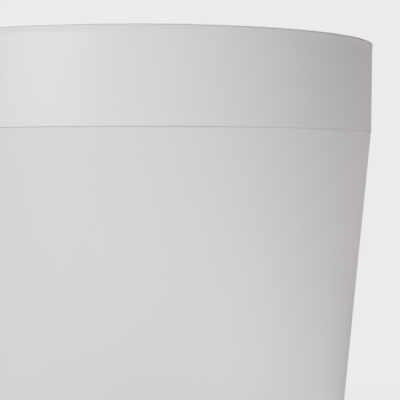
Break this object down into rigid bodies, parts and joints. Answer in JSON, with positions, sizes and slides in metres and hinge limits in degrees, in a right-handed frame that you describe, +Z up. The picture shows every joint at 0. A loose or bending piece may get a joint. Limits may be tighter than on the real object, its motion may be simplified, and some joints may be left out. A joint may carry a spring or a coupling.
{
  "type": "wastebasket",
  "caption": "Round tapered wastebasket with a straight-sided lift-off collar that hides and holds the top of a bin liner, standing on soft foot pads.",
  "frame": {"origin": "on the floor at the foot pads' faces, on the bucket's axis", "axes": "+Z up along the bucket's axis; -Y is the front; the keys of the collar lie on the X and Y axes and the foot pads between them"},
  "size_m": [0.2506, 0.2506, 0.28],
  "materials": {
    "bucket_plastic": "satin moulded polypropylene, white",
    "collar_plastic": "satin moulded polypropylene, white, same batch as the bucket",
    "pad_rubber": "soft thermoplastic elastomer, light grey"
  },
  "bodies": {
    "base": {"bucket": "bucket_plastic", "foot_pad_front_right": "pad_rubber", "foot_pad_front_left": "pad_rubber", "foot_pad_rear_right": "pad_rubber", "foot_pad_rear_left": "pad_rubber"},
    "collar": {"liner_collar": "collar_plastic"}
  },
  "joints": [
    {"name": "collar_lift", "type": "slide", "parent": "base", "child": "collar", "axis": [0, 0, 1], "range_m": [0, 0.07]}
  ]
}
